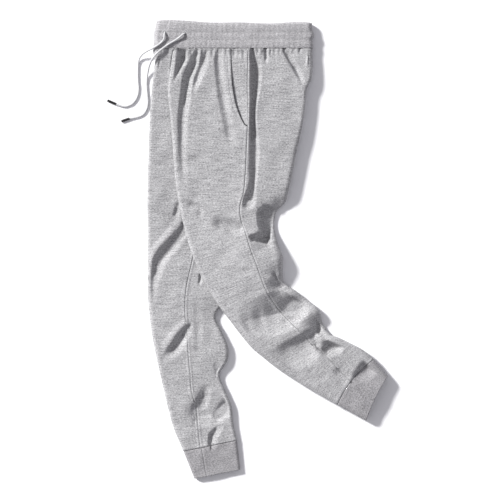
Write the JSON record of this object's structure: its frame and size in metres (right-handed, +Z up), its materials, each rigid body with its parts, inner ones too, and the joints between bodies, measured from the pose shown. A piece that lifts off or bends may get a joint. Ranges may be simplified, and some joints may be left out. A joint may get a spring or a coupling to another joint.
{
  "type": "jogger sweatpants",
  "caption": "Heather grey fleece jogger sweatpants lying flat on their side, with ribbed waistband and cuffs, a slit pocket and a metal-tipped drawcord.",
  "frame": {"origin": "centre of the trousers' footprint on the surface that they lie on, leaving out the drawcords", "axes": "+X runs right as laid, from the front edge towards the seat; +Y runs along the length from the hems to the waistband; +Z is up from the surface"},
  "size_m": [0.6187, 1.0092, 0.0382],
  "materials": {
    "fleece": "brushed heather jersey fleece, matt",
    "rib_knit": "heather rib knit, matt",
    "cord": "braided cotton cord, matt",
    "tip_metal": "dark gunmetal cord end"
  },
  "bodies": {
    "root": {"waistband": "rib_knit", "left_front_panel": "fleece", "left_back_panel": "fleece", "left_pocket_facing": "fleece", "right_front_panel": "fleece", "right_back_panel": "fleece", "left_cuff": "rib_knit", "right_cuff": "rib_knit", "left_drawcord": "cord", "left_cord_tip": "tip_metal", "right_drawcord": "cord", "right_cord_tip": "tip_metal"}
  },
  "joints": []
}
